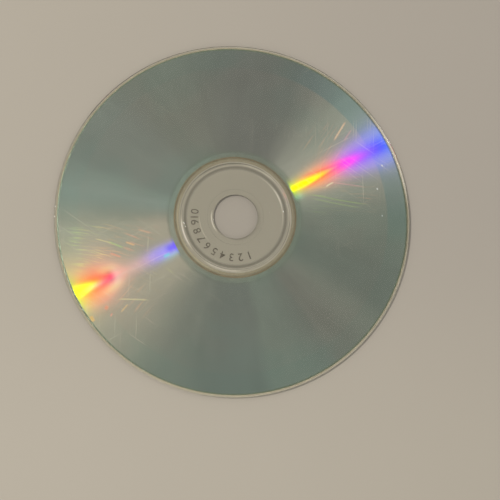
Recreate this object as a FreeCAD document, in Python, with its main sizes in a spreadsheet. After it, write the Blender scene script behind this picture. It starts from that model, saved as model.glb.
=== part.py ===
import FreeCAD, Part
import os
import Sketcher

# Compact disc, millimetres, lying with its read side up.
# The origin is on the axis of the centre hole, on the face that the disc rests on, and +Z points to the read side.
# Radii grow outwards from the hole in a chain of widths, and the coatings stop short of the rim by named margins.

document = FreeCAD.newDocument("compact_disc")
sheet = document.addObject("Spreadsheet::Sheet", "sizes")

SIZES = [
    ("disc_radius", 60.0, "outer radius of the moulded disc"),
    ("hole_radius", 7.5, "radius of the centre hole"),
    ("substrate_thick", 1.15, "polycarbonate between its two flat faces"),
    ("hole_chamfer", 0.15, "bevel on both edges of the centre hole"),
    ("rim_rounding", 0.25, "rounding of the outer edge on the read side"),
    ("rim_bevel", 0.15, "bevel of the outer edge on the label side, where the mould parts"),
    ("gate_step_width", 2.0, "step left by the cut gate, round the hole on the label side"),
    ("gate_step_depth", 0.05, "how far that step lies below the label side"),
    ("punch_land_width", 2.1, "flat between the gate step and the punch mark"),
    ("punch_mark_width", 0.5, "width of the ring that the mould's centre sleeve leaves"),
    ("punch_mark_depth", 0.05, "depth of that ring in the read side"),
    ("clamp_land_width", 4.0, "flat ring that a drive clamps"),
    ("stacking_ring_width", 1.4, "foot of the raised ring that keeps stacked discs apart"),
    ("stacking_ring_flank_width", 0.25, "how far each flank of that ring leans in"),
    ("stacking_ring_height", 0.2, "how far that ring stands above the read side"),
    ("stacking_ring_bevel", 0.06, "softening of the ring's two upper edges"),
    ("holder_groove_gap", 0.35, "radial step from the stacking ring to the holder groove"),
    ("holder_groove_width", 0.7, "mouth of the groove left by the stamper's holder"),
    ("holder_groove_flank_width", 0.15, "how far each flank of that groove leans in"),
    ("holder_groove_depth", 0.16, "depth of that groove in the label side"),
    ("lacquer_inner_gap", 0.5, "bare ring between the holder groove and the lacquer"),
    ("reflector_inner_gap", 1.3, "how far the metal starts outside the lacquer's inner edge"),
    ("dye_inner_gap", 2.0, "how far the dye starts outside the metal's inner edge"),
    ("lacquer_rim_margin", 0.35, "bare ring between the lacquer and the rim"),
    ("reflector_rim_margin", 0.5, "how far the metal stops inside the lacquer's outer edge"),
    ("dye_rim_margin", 0.45, "how far the dye stops inside the metal's outer edge"),
    ("dye_thick", 0.01, "dye coating"),
    ("reflector_thick", 0.01, "metal coating"),
    ("lacquer_thick", 0.03, "lacquer below the metal"),
]
for row, (alias, millimetres, meaning) in enumerate(SIZES, start=1):
    sheet.set(f"A{row}", meaning)
    sheet.set(f"B{row}", str(millimetres))
    sheet.setAlias(f"B{row}", alias)
document.recompute()

# Radii that more than one piece uses, each a sum of the sheet's own names, from the hole outwards.
GATE_END = "hole_radius + gate_step_width"
PUNCH_START = GATE_END + " + punch_land_width"
PUNCH_END = PUNCH_START + " + punch_mark_width"
RING_START = PUNCH_END + " + clamp_land_width"
RING_END = RING_START + " + stacking_ring_width"
GROOVE_START = RING_END + " + holder_groove_gap"
GROOVE_END = GROOVE_START + " + holder_groove_width"
LACQUER_START = GROOVE_END + " + lacquer_inner_gap"
REFLECTOR_START = LACQUER_START + " + reflector_inner_gap"
DYE_START = REFLECTOR_START + " + dye_inner_gap"

# The coatings' outer edges follow the rim inwards.
LACQUER_END = "disc_radius - lacquer_rim_margin"
REFLECTOR_END = LACQUER_END + " - reflector_rim_margin"
DYE_END = REFLECTOR_END + " - dye_rim_margin"

# Height of each piece's own base in the finished disc, from the lacquer up; BASE is that base in the piece's own frame.
REFLECTOR_BASE = "lacquer_thick"
DYE_BASE = REFLECTOR_BASE + " + reflector_thick"
SUBSTRATE_BASE = DYE_BASE + " + dye_thick"
BASE = ""

# How Sketcher counts: its origin and horizontal axis share one number, and a line has a start and an end.
SKETCH_ORIGIN = -1
HORIZONTAL_AXIS = -1
POINT_OF_LINE = {"start": 1, "end": 2}

EDGE_MATCH = 1e-4


def amount(words):
    """Value of a sum of sheet names, such as 'disc_radius - rim_rounding'; the empty sum is the piece's own base."""
    total = 0.0
    sign = 1.0
    for word in words.split():
        if word in ("+", "-"):
            sign = 1.0 if word == "+" else -1.0
        else:
            total += sign * sheet.get(word)
    return total


def formula(words):
    """The same sum as an expression that a dimension can be bound to."""
    return " ".join(word if word in ("+", "-") else "sizes." + word for word in words.split())


def new_body(label, base):
    """An empty body whose own base lies at the height that the sum of layers below it gives."""
    body = document.addObject("PartDesign::Body", label)
    body.Label = label
    body.Placement = FreeCAD.Placement(FreeCAD.Vector(0, 0, amount(base)), FreeCAD.Rotation())
    if base:
        body.setExpression("Placement.Base.z", formula(base))
    return body


def section(body, name, corners):
    """Closed outline in the plane of the axis; a corner is its radius and its height above the body's base."""
    sketch = body.newObject("Sketcher::SketchObject", name)
    plane = next(item for item in body.Origin.OriginFeatures if item.Role == "XZ_Plane")
    sketch.AttachmentSupport = (plane, [""])
    sketch.MapMode = "FlatFace"
    points = [FreeCAD.Vector(amount(radius), amount(height), 0) for radius, height in corners]
    following = points[1:] + points[:1]
    start = POINT_OF_LINE["start"]
    sketch.addGeometry([Part.LineSegment(a, b) for a, b in zip(points, following)], False)
    for i, (radius, height) in enumerate(corners):
        after = (i + 1) % len(corners)
        sketch.addConstraint(Sketcher.Constraint("Coincident", i, POINT_OF_LINE["end"], after, start))
        dimension(sketch, "DistanceX", f"radius_{i}", i, radius)
        if height == BASE:
            sketch.addConstraint(Sketcher.Constraint("PointOnObject", i, start, HORIZONTAL_AXIS))
        else:
            dimension(sketch, "DistanceY", f"height_{i}", i, height)
    document.recompute()
    return sketch


def dimension(sketch, kind, name, line, words):
    """Dimension from the sketch's origin to the start of a line, bound to a sum of sheet names."""
    start = POINT_OF_LINE["start"]
    constraint = Sketcher.Constraint(kind, SKETCH_ORIGIN, start, line, start, amount(words))
    sketch.renameConstraint(sketch.addConstraint(constraint), name)
    sketch.setExpression(f"Constraints.{name}", formula(words))


def turn(body, kind, name, corners):
    """Turn a section about the disc's axis: a Revolution adds it to the body, and a Groove cuts it away."""
    volume_before = body.Shape.Volume if body.Tip else 0.0
    sketch = section(body, name + "_section", corners)
    feature = body.newObject(kind, name)
    feature.Profile = sketch
    feature.ReferenceAxis = (sketch, ["V_Axis"])
    feature.Angle = 360.0
    sketch.Visibility = False
    document.recompute()
    grown = body.Shape.Volume - volume_before
    if (grown > 0) != (kind == "PartDesign::Revolution"):
        raise RuntimeError(f"{name} leaves the material as it was")


def soften(body, kind, name, size_property, size_name, circles):
    """Round or bevel the circular edges that lie at the given pairs of radius and height."""
    base = body.Tip
    names = []
    for i, edge in enumerate(base.Shape.Edges, start=1):
        if not isinstance(edge.Curve, Part.Circle):
            continue
        for radius, height in circles:
            same_radius = abs(edge.Curve.Radius - amount(radius)) < EDGE_MATCH
            same_height = abs(edge.Curve.Center.z - amount(height)) < EDGE_MATCH
            if same_radius and same_height:
                names.append(f"Edge{i}")
    if len(names) != len(circles):
        raise RuntimeError(f"{name} finds {len(names)} edges of {len(circles)}")
    feature = body.newObject(kind, name)
    feature.Base = (base, names)
    feature.setExpression(size_property, formula(size_name))
    document.recompute()


def moulded_disc():
    """Clear polycarbonate: one injection moulding, with the marks that its mould leaves round the hole."""
    body = new_body("polycarbonate_disc", SUBSTRATE_BASE)
    top = "substrate_thick"
    turn(body, "PartDesign::Revolution", "blank", [
        ("hole_radius", BASE),
        ("disc_radius", BASE),
        ("disc_radius", top),
        ("hole_radius", top),
    ])

    ring_top = top + " + stacking_ring_height"
    turn(body, "PartDesign::Revolution", "stacking_ring", [
        (RING_START, top),
        (RING_END, top),
        (RING_END + " - stacking_ring_flank_width", ring_top),
        (RING_START + " + stacking_ring_flank_width", ring_top),
    ])
    turn(body, "PartDesign::Groove", "holder_groove", [
        (GROOVE_START, BASE),
        (GROOVE_END, BASE),
        (GROOVE_END + " - holder_groove_flank_width", "holder_groove_depth"),
        (GROOVE_START + " + holder_groove_flank_width", "holder_groove_depth"),
    ])
    turn(body, "PartDesign::Groove", "punch_mark", [
        (PUNCH_START, top),
        (PUNCH_END, top),
        (PUNCH_END, top + " - punch_mark_depth"),
        (PUNCH_START, top + " - punch_mark_depth"),
    ])
    turn(body, "PartDesign::Groove", "gate_step", [
        ("hole_radius", BASE),
        (GATE_END, BASE),
        (GATE_END, "gate_step_depth"),
        ("hole_radius", "gate_step_depth"),
    ])

    soften(body, "PartDesign::Chamfer", "ring_crest", "Size", "stacking_ring_bevel", [
        (RING_START + " + stacking_ring_flank_width", ring_top),
        (RING_END + " - stacking_ring_flank_width", ring_top),
    ])
    soften(body, "PartDesign::Fillet", "read_side_rim", "Radius", "rim_rounding", [
        ("disc_radius", top),
    ])
    soften(body, "PartDesign::Chamfer", "label_side_rim", "Size", "rim_bevel", [
        ("disc_radius", BASE),
    ])
    soften(body, "PartDesign::Chamfer", "hole_edges", "Size", "hole_chamfer", [
        ("hole_radius", "gate_step_depth"),
        ("hole_radius", top),
    ])
    return body


def dye_layer():
    """Organic dye, spun on over the moulded spiral; a flat ring against the label side of the moulding."""
    body = new_body("dye_layer", DYE_BASE)
    turn(body, "PartDesign::Revolution", "coating", [
        (DYE_START, BASE),
        (DYE_END, BASE),
        (DYE_END, "dye_thick"),
        (DYE_START, "dye_thick"),
    ])
    return body


def silver_reflector():
    """Sputtered metal: it covers the dye and closes over both of its edges onto the moulding."""
    body = new_body("silver_reflector", REFLECTOR_BASE)
    over_dye = "reflector_thick"
    at_moulding = over_dye + " + dye_thick"
    turn(body, "PartDesign::Revolution", "coating", [
        (REFLECTOR_START, BASE),
        (REFLECTOR_END, BASE),
        (REFLECTOR_END, at_moulding),
        (DYE_END, at_moulding),
        (DYE_END, over_dye),
        (DYE_START, over_dye),
        (DYE_START, at_moulding),
        (REFLECTOR_START, at_moulding),
    ])
    return body


def lacquer_coat():
    """Hardened lacquer: it seals the metal and closes over both of its edges; the disc rests on it."""
    body = new_body("lacquer_coat", BASE)
    under_metal = "lacquer_thick"
    at_moulding = under_metal + " + reflector_thick + dye_thick"
    turn(body, "PartDesign::Revolution", "coating", [
        (LACQUER_START, BASE),
        (LACQUER_END, BASE),
        (LACQUER_END, at_moulding),
        (REFLECTOR_END, at_moulding),
        (REFLECTOR_END, under_metal),
        (REFLECTOR_START, under_metal),
        (REFLECTOR_START, at_moulding),
        (LACQUER_START, at_moulding),
    ])
    return body


pieces = [moulded_disc(), dye_layer(), silver_reflector(), lacquer_coat()]
document.recompute()

for item in document.Objects:
    if "Invalid" in item.State or "Error" in item.State:
        raise RuntimeError(f"{item.Label} failed: {item.State}")
for piece in pieces:
    if piece.Shape.isNull() or not piece.Shape.isValid():
        raise RuntimeError(f"{piece.Label} has no valid shape")

os.makedirs("parts", exist_ok=True)
for piece in pieces:
    piece.Shape.exportStep(f"parts/{piece.Label}.step")
    box = piece.Shape.optimalBoundingBox(False, False)
    print(f"{piece.Label}: {piece.Shape.Volume:.2f} mm3, height {box.ZMin:.3f} to {box.ZMax:.3f}, "
          f"outer radius {box.XMax:.3f}, solids {len(piece.Shape.Solids)}")
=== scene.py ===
import math

import bpy
import numpy as np
from mathutils import Matrix, Quaternion, Vector


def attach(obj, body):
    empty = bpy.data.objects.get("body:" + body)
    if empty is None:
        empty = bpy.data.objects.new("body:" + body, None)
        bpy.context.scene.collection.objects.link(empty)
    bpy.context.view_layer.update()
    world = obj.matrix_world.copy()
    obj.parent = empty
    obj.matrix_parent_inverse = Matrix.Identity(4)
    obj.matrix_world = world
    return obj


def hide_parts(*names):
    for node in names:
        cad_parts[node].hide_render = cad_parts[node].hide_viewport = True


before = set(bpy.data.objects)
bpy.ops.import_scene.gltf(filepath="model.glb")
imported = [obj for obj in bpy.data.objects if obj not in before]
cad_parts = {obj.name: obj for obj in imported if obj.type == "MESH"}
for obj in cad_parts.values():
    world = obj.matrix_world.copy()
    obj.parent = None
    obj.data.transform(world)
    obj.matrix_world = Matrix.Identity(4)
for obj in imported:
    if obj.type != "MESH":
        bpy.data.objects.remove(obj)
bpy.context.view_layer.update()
scene = bpy.context.scene
scene.view_settings.view_transform = "Standard"


# Camera: almost straight above the disc, at the photograph's angle.
MM = 0.001
CAMERA_PLACE = Vector((-21.04, -49.54, 270.39)) * MM
CAMERA_AIM = Vector((4.69, -11.36, 1.2)) * MM
CAMERA_ROLL = math.radians(-0.77)
CAMERA_LENS = 58.75
CAMERA_SENSOR = 36.0
CAMERA_NEAR = 0.01


def looking_from(place, aim, roll):
    """The matrix of something at place whose -Z points at aim and whose +Y leans towards the
    world's +Y, then turned by roll about its own line of sight."""
    back = (place - aim).normalized()
    right = Vector((0.0, 1.0, 0.0)).cross(back).normalized()
    right = Quaternion(back, roll) @ right
    turn = Matrix((right, back.cross(right), back)).transposed()
    return Matrix.Translation(place) @ turn.to_4x4()


lens = bpy.data.cameras.new("camera above the disc")
lens.lens = CAMERA_LENS
lens.sensor_width = CAMERA_SENSOR
lens.clip_start = CAMERA_NEAR
camera = bpy.data.objects.new("camera above the disc", lens)
camera.matrix_world = looking_from(CAMERA_PLACE, CAMERA_AIM, CAMERA_ROLL)
scene.collection.objects.link(camera)
scene.camera = camera


# Floor: a plain pale board, a hair below the disc, so that no two faces share a plane.
FLOOR_HALF = 1.6
FLOOR_DROP = 0.04 * MM
FLOOR_COLOUR = (172, 164, 150)
FLOOR_COLOUR_RIGHT = (171, 163, 151)
FLOOR_COLOUR_NEAR = (181, 173, 158)
FLOOR_TURNS_RIGHT = (-0.08, 0.09)  # in metres along X, from the first colour to the right's
FLOOR_TURNS_NEAR = (0.01, -0.09)  # in metres along Y, to the colour at the picture's foot
FLOOR_GRAIN = 0.03
FLOOR_GRAIN_SCALE = 24.0
FLOOR_ROUGHNESS = 0.75
# Painted shade: the floor is darkened inside the disc's hole.
HOLE_PAINTED_SHADE = 0.14
HOLE_EDGE = (62.0, 50.0)  # the distance from the axis squared, in square millimetres


def linear(colour):
    """A colour written as screen values from 0 to 255, as the linear colour that a socket takes.
    The screen curve is c/12.92 near black and ((c + 0.055)/1.055) to the power 2.4 above it."""
    c = np.array(colour[:3], float) / 255.0
    c = np.where(c <= 0.04045, c / 12.92, ((c + 0.055) / 1.055) ** 2.4)
    return (*c.tolist(), 1.0)


def new_material(name):
    """A material with its node tree, its Principled shader and its output."""
    made = bpy.data.materials.new(name)
    made.use_nodes = True
    nodes = made.node_tree.nodes
    return made, made.node_tree, nodes["Principled BSDF"], nodes["Material Output"]


def calculate(tree, operation, *terms):
    """One Math node. Each term is a number or another node's output."""
    made = tree.nodes.new("ShaderNodeMath")
    made.operation = operation
    for socket, term in zip(made.inputs, terms):
        if isinstance(term, (int, float)):
            socket.default_value = term
        else:
            tree.links.new(term, socket)
    return made.outputs[0]


def between(tree, value, low, high):
    """0 below low and 1 above high, with a smooth rise between them, or a fall if low is more."""
    made = tree.nodes.new("ShaderNodeMapRange")
    made.interpolation_type = "SMOOTHSTEP"
    for label, term in (("Value", value), ("From Min", low), ("From Max", high)):
        if isinstance(term, (int, float)):
            made.inputs[label].default_value = term
        else:
            tree.links.new(term, made.inputs[label])
    return made.outputs["Result"]


def noise(tree, vector, scale, detail=2.0, roughness=0.5):
    """Blender's own noise from 0 to 1 at a place, scale to the metre."""
    made = tree.nodes.new("ShaderNodeTexNoise")
    made.inputs["Scale"].default_value = scale
    made.inputs["Detail"].default_value = detail
    made.inputs["Roughness"].default_value = roughness
    tree.links.new(vector, made.inputs["Vector"])
    return made.outputs["Fac"]


def blended(tree, factor, under, over, how="MIX"):
    """Two colours mixed by a factor. Each is written, or another node's output."""
    made = tree.nodes.new("ShaderNodeMix")
    made.data_type = "RGBA"
    made.blend_type = how
    made.clamp_result = how == "MIX"
    colours = [s for s in made.inputs if s.type == "RGBA"]
    factors = [s for s in made.inputs if s.type == "VALUE"]
    for socket, value in ((factors[0], factor), (colours[0], under), (colours[1], over)):
        if isinstance(value, (int, float, tuple)):
            socket.default_value = value
        else:
            tree.links.new(value, socket)
    return [s for s in made.outputs if s.type == "RGBA"][0]


def product(tree, *terms):
    """All the terms multiplied together."""
    result = terms[0]
    for term in terms[1:]:
        result = calculate(tree, "MULTIPLY", result, term)
    return result


def total(tree, *terms):
    """All the terms added together."""
    result = terms[0]
    for term in terms[1:]:
        result = calculate(tree, "ADD", result, term)
    return result


floor_mesh = bpy.data.meshes.new("floor")
floor_corners = [(sx * FLOOR_HALF, sy * FLOOR_HALF, -FLOOR_DROP)
                 for sx, sy in ((-1, -1), (1, -1), (1, 1), (-1, 1))]
floor_mesh.from_pydata(floor_corners, [], [(0, 1, 2, 3)])
floor = bpy.data.objects.new("floor", floor_mesh)
scene.collection.objects.link(floor)
floor_paint, floor_tree, floor_shader, _ = new_material("pale board")
here = floor_tree.nodes.new("ShaderNodeTexCoord").outputs["Object"]
axes = floor_tree.nodes.new("ShaderNodeSeparateXYZ")
floor_tree.links.new(here, axes.inputs[0])
tone = blended(floor_tree, between(floor_tree, axes.outputs["X"], *FLOOR_TURNS_RIGHT),
               linear(FLOOR_COLOUR), linear(FLOOR_COLOUR_RIGHT))
tone = blended(floor_tree, between(floor_tree, axes.outputs["Y"], *FLOOR_TURNS_NEAR), tone,
               linear(FLOOR_COLOUR_NEAR))
squares = total(floor_tree, product(floor_tree, axes.outputs["X"], axes.outputs["X"]),
                product(floor_tree, axes.outputs["Y"], axes.outputs["Y"]))
squares = product(floor_tree, squares, 1.0 / MM ** 2)
# Painted shade inside the hole, added into the floor's grain.
painted_hole_shade = product(floor_tree, between(floor_tree, squares, *HOLE_EDGE), -HOLE_PAINTED_SHADE)
grain_and_hole_shade = noise(floor_tree, here, FLOOR_GRAIN_SCALE, detail=4.0)
grain_and_hole_shade = calculate(floor_tree, "MULTIPLY_ADD", grain_and_hole_shade, FLOOR_GRAIN, 1.0 - FLOOR_GRAIN / 2)
grain_and_hole_shade = calculate(floor_tree, "ADD", grain_and_hole_shade, painted_hole_shade)
grey = floor_tree.nodes.new("ShaderNodeCombineColor")
for socket in grey.inputs:
    floor_tree.links.new(grain_and_hole_shade, socket)
floor_tree.links.new(blended(floor_tree, 1.0, tone, grey.outputs[0], "MULTIPLY"),
                     floor_shader.inputs["Base Color"])
floor_shader.inputs["Roughness"].default_value = FLOOR_ROUGHNESS
floor_mesh.materials.append(floor_paint)


# Light: a pale room all round and one soft lamp to the upper left, opposite the rim's shadow.
ROOM_COLOUR = (232, 226, 216)
ROOM_LIGHT = 0.50
LAMP_PLACE = Vector((-413.0, 111.0, 763.0)) * MM
LAMP_SIZE = 0.15
LAMP_POWER = 4.26
LAMP_COLOUR = (1.0, 0.97, 0.93)

room = bpy.data.worlds.new("pale room")
room.use_nodes = True
scene.world = room
air = room.node_tree.nodes
seen_room = air.new("ShaderNodeBackground")
seen_room.inputs["Color"].default_value = linear(ROOM_COLOUR)
lighting_room = air["Background"]
lighting_room.inputs["Color"].default_value = (1.0, 1.0, 1.0, 1.0)
lighting_room.inputs["Strength"].default_value = ROOM_LIGHT
ray = air.new("ShaderNodeLightPath")
either = air.new("ShaderNodeMath")
either.operation = "MAXIMUM"
any_of_three = air.new("ShaderNodeMath")
any_of_three.operation = "MAXIMUM"
choice = air.new("ShaderNodeMixShader")
room.node_tree.links.new(ray.outputs["Is Camera Ray"], either.inputs[0])
room.node_tree.links.new(ray.outputs["Is Glossy Ray"], either.inputs[1])
room.node_tree.links.new(either.outputs[0], any_of_three.inputs[0])
room.node_tree.links.new(ray.outputs["Is Transmission Ray"], any_of_three.inputs[1])
room.node_tree.links.new(any_of_three.outputs[0], choice.inputs["Fac"])
room.node_tree.links.new(lighting_room.outputs[0], choice.inputs[1])
room.node_tree.links.new(seen_room.outputs[0], choice.inputs[2])
room.node_tree.links.new(choice.outputs[0], air["World Output"].inputs["Surface"])

lamp_light = bpy.data.lights.new("soft lamp", "AREA")
lamp_light.shape = "DISK"
lamp_light.size = LAMP_SIZE
lamp_light.energy = LAMP_POWER
lamp_light.color = LAMP_COLOUR
lamp = bpy.data.objects.new("soft lamp", lamp_light)
lamp.matrix_world = looking_from(LAMP_PLACE, Vector((0.0, 0.0, 0.0)), 0.0)
scene.collection.objects.link(lamp)


# Clear disc.
# The real piece is one polycarbonate moulding, pressed against a stamper and cooled flat.
# It carries the hub, the stacking ring, the holder groove, the mould's marks and the round rim.
DISC_STEPS = 360
CORNER_STEPS = 4
CORNER_HOLD = 0.012
DISC_PROFILE = (  # radius, height and rounding in millimetres, along the label side and back
    (7.65, 0.10, 0.05), (9.50, 0.10, 0.02), (9.52, 0.05, 0.02),
    (17.80, 0.05, 0.08), (18.00, 0.21, 0.10), (18.40, 0.21, 0.10), (18.60, 0.05, 0.08),
    (59.85, 0.05, 0.05), (59.995, 0.20, 0.05), (59.995, 1.20, 0.25),
    (17.58, 1.20, 0.14), (17.22, 1.40, 0.16), (16.38, 1.40, 0.16), (16.02, 1.20, 0.14),
    (12.10, 1.20, 0.02), (12.06, 1.15, 0.02), (11.64, 1.15, 0.02), (11.60, 1.20, 0.02),
    (7.65, 1.20, 0.05), (7.50, 1.05, 0.05), (7.50, 0.25, 0.05),
)
CLEAR_TINT = (221, 223, 215)
CLEAR_IOR = 1.585
CLEAR_ROUGHNESS = 0.015
CLEAR_MIRROR = 0.05  # the share of a bare face's mirroring that a dim ceiling leaves
RIM_WALL = (59.88, 59.96)  # the radii over which the rim's wall begins
HOLE_WALL = (7.72, 7.62)
WALL_SHADE = 0.9
WALL_GLOW = 0.75  # the share of the shade that light from outside the wall escapes
# Hairlines: the direction of each set in degrees and the shift of its pattern, how much longer
# than wide they are, and where their noise and the patches that they lie in begin and are full.
HAIRLINE_SETS = ((24.0, 0.31), (-38.0, 0.77), (81.0, 0.12))
HAIRLINE_SCALE = (40.0, 2600.0, 0.0)
HAIRLINE_EDGE = (0.66, 0.74)
PATCH_SCALE = 55.0
PATCH_EDGE = (0.95, 1.15)
SMEAR_SCALE = 34.0
SMEAR_EDGE = (0.45, 0.75)
# On the clear disc they lie on the flat part alone, and dull and dent its skin a little.
FLAT_PART_FROM = (19.5, 20.5)
FLAT_PART_TO = (59.0, 58.0)
CLEAR_HAIRLINES = 0.42
HAIRLINE_DULLING = 0.10
HAIRLINE_DENT = 0.05
HAIRLINE_DEPTH = 0.004
SMEAR_DULLING = 0.02
# Painted light and shade on the relief: the radius and half width of an arc in millimetres, the
# middle, half width and softness of its wedge in degrees, and the share of the light that it keeps.
# A half width of 200 degrees goes all round.
PAINTED_RELIEF_SHADING = (
    (16.95, 0.85, 0.0, 200.0, 1.0, 0.60),
    (16.15, 0.45, 25.0, 30.0, 40.0, 1.45),
    (18.40, 0.60, 25.0, 28.0, 30.0, 1.45),
    (17.95, 0.50, 66.0, 18.0, 20.0, 1.25),
    (17.50, 0.45, 112.0, 24.0, 24.0, 1.20),
    (18.20, 0.50, 198.0, 14.0, 20.0, 1.60),
    (18.40, 0.50, 255.0, 18.0, 14.0, 1.45),
    (18.80, 0.45, 318.0, 45.0, 24.0, 1.12),
    (18.35, 0.60, 103.0, 24.0, 20.0, 0.75),
    (20.20, 0.65, 0.0, 200.0, 1.0, 0.76),
    (19.55, 0.70, 205.0, 42.0, 34.0, 1.28),
    (7.42, 0.34, 178.0, 50.0, 30.0, 0.62),
    (8.12, 0.38, 192.0, 22.0, 22.0, 1.45),
    (12.20, 0.35, 200.0, 18.0, 18.0, 1.22),
    (59.45, 0.65, 0.0, 200.0, 1.0, 1.45),
    (59.20, 0.60, 355.0, 12.0, 14.0, 0.72),
    (59.98, 0.26, 335.0, 55.0, 30.0, 0.52),
    (60.00, 0.24, 165.0, 45.0, 30.0, 0.60),
)
# Painted glints, as emission, where the relief mirrors the lamp: the same arcs, with the light that
# each gives.
PAINTED_GLINTS = (
    (59.60, 0.45, 22.0, 13.0, 12.0, 0.17),
    (16.15, 0.42, 24.0, 10.0, 14.0, 0.11),
    (18.25, 0.45, 198.0, 11.0, 14.0, 0.08),
    (8.12, 0.34, 192.0, 20.0, 20.0, 0.06),
)
PAINTED_GLINT_COLOUR = (255, 248, 232)


def rounded_profile(corners, hold=CORNER_HOLD):
    """A closed profile whose corners are rounded. With A and B one rounding length before and
    after a corner C along its two sides, the corner becomes the curve
    (1-t)(1-t) A + 2t(1-t) C + tt B. One more point holds each side flat up to the curve."""
    points = np.array(corners, float)
    corner, cut = points[:, :2], points[:, 2:]
    before = np.roll(corner, 1, axis=0) - corner
    after = np.roll(corner, -1, axis=0) - corner
    before /= np.linalg.norm(before, axis=1, keepdims=True)
    after /= np.linalg.norm(after, axis=1, keepdims=True)
    start, end = corner + cut * before, corner + cut * after
    t = np.linspace(0.0, 1.0, CORNER_STEPS + 1)[None, :, None]
    curve = ((1 - t) ** 2 * start[:, None] + 2 * t * (1 - t) * corner[:, None]
             + t ** 2 * end[:, None])
    lead = (start + hold * before)[:, None]
    trail = (end + hold * after)[:, None]
    return np.concatenate([lead, curve, trail], axis=1).reshape(-1, 2) * MM


def turned_ring(name, profile, steps):
    """Carries a closed profile once round the disc's axis: its point (r, z) at the turn a goes
    to (r cos a, r sin a, z). The grid of points closes on itself both ways, so the skin has no
    seam, and its faces point outwards when the profile runs outwards along its lower side."""
    turn = np.linspace(0.0, 2.0 * np.pi, steps, endpoint=False)[:, None]
    r, z = profile[:, 0][None, :], profile[:, 1][None, :]
    places = np.stack([r * np.cos(turn), r * np.sin(turn), z + 0.0 * turn], axis=-1)
    count = len(profile)
    i, j = np.meshgrid(np.arange(steps), np.arange(count), indexing="ij")
    i_next, j_next = (i + 1) % steps, (j + 1) % count
    faces = np.stack([i * count + j, i_next * count + j,
                      i_next * count + j_next, i * count + j_next], axis=-1)
    mesh = bpy.data.meshes.new(name)
    mesh.from_pydata(places.reshape(-1, 3).tolist(), [], faces.reshape(-1, 4).tolist())
    mesh.shade_smooth()
    piece = bpy.data.objects.new(name, mesh)
    scene.collection.objects.link(piece)
    return piece


def moved(tree, vector, place=(0, 0, 0), turn=0.0, scale=(1, 1, 1)):
    """A pattern's place, turned about the disc's axis first and then stretched and moved."""
    turned = tree.nodes.new("ShaderNodeMapping")
    turned.inputs["Rotation"].default_value = (0.0, 0.0, math.radians(turn))
    tree.links.new(vector, turned.inputs["Vector"])
    made = tree.nodes.new("ShaderNodeMapping")
    made.inputs["Location"].default_value = place
    made.inputs["Scale"].default_value = scale
    tree.links.new(turned.outputs["Vector"], made.inputs["Vector"])
    return made.outputs["Vector"]


def new_group(name, inputs, outputs):
    """A shader node group with named inputs and outputs. An input is given with its starting
    value, or with None for a vector, and an output with its kind of socket."""
    group = bpy.data.node_groups.new(name, "ShaderNodeTree")
    for label, value in inputs.items():
        kind = "NodeSocketVector" if value is None else "NodeSocketFloat"
        socket = group.interface.new_socket(label, in_out="INPUT", socket_type=kind)
        if value is not None:
            socket.default_value = value
    for label, kind in outputs.items():
        group.interface.new_socket(label, in_out="OUTPUT", socket_type=kind)
    given = group.nodes.new("NodeGroupInput").outputs
    put = group.nodes.new("NodeGroupOutput").inputs
    return group, given, put


def placed(tree, group, values):
    """A node group in a tree, with its own values or links by the names of its inputs."""
    made = tree.nodes.new("ShaderNodeGroup")
    made.node_tree = group
    for label, value in values.items():
        if isinstance(value, (int, float)):
            made.inputs[label].default_value = value
        else:
            tree.links.new(value, made.inputs[label])
    return made.outputs


# Polar place: how far from the axis, in millimetres, and which way round, in degrees.
polar, given, put = new_group(
    "polar place",
    {"Vector": None},
    {"Radius": "NodeSocketFloat", "Angle": "NodeSocketFloat"},
)
axes = polar.nodes.new("ShaderNodeSeparateXYZ")
polar.links.new(given["Vector"], axes.inputs[0])
x, y = axes.outputs["X"], axes.outputs["Y"]
squared = total(polar, product(polar, x, x), product(polar, y, y))
polar.links.new(product(polar, calculate(polar, "SQRT", squared), 1.0 / MM), put["Radius"])
polar.links.new(calculate(polar, "DEGREES", calculate(polar, "ARCTAN2", y, x)), put["Angle"])

# Handling marks: hairlines in three directions that come and go in patches, and soft smears.
handling, given, put = new_group(
    "handling marks",
    {"Vector": None, "Coverage": 0.5},
    {"Hairlines": "NodeSocketFloat", "Smears": "NodeSocketFloat"},
)
hairlines = 0.0
for turn, shift in HAIRLINE_SETS:
    streaked = moved(handling, given["Vector"], (shift, shift, 0.0), turn, HAIRLINE_SCALE)
    streaked = noise(handling, streaked, 1.0, detail=1.0)
    hairlines = calculate(handling, "MAXIMUM", hairlines, between(handling, streaked, *HAIRLINE_EDGE))
patches = noise(handling, given["Vector"], PATCH_SCALE, detail=3.0)
covered = between(handling, calculate(handling, "ADD", patches, given["Coverage"]), *PATCH_EDGE)
handling.links.new(product(handling, hairlines, covered), put["Hairlines"])
smeared = noise(handling, given["Vector"], SMEAR_SCALE, detail=5.0, roughness=0.6)
handling.links.new(between(handling, smeared, *SMEAR_EDGE), put["Smears"])


# Wedge of the disc: from one angle to another, with its own softness along each edge.
fan, given, put = new_group(
    "wedge of the disc",
    {"Angle": 0.0, "Middle": 0.0, "Half Width": 10.0, "Soft Start": 5.0, "Soft End": 5.0},
    {"Mask": "NodeSocketFloat"},
)
off_middle = calculate(fan, "WRAP", calculate(fan, "SUBTRACT", given["Angle"], given["Middle"]),
                       180.0, -180.0)
start = calculate(fan, "MULTIPLY", given["Half Width"], -1.0)
half_start = calculate(fan, "MULTIPLY", given["Soft Start"], 0.5)
half_end = calculate(fan, "MULTIPLY", given["Soft End"], 0.5)
rise = between(fan, off_middle, calculate(fan, "SUBTRACT", start, half_start),
               calculate(fan, "ADD", start, half_start))
fall = between(fan, off_middle, calculate(fan, "ADD", given["Half Width"], half_end),
               calculate(fan, "SUBTRACT", given["Half Width"], half_end))
fan.links.new(calculate(fan, "MULTIPLY", rise, fall), put["Mask"])


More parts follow.
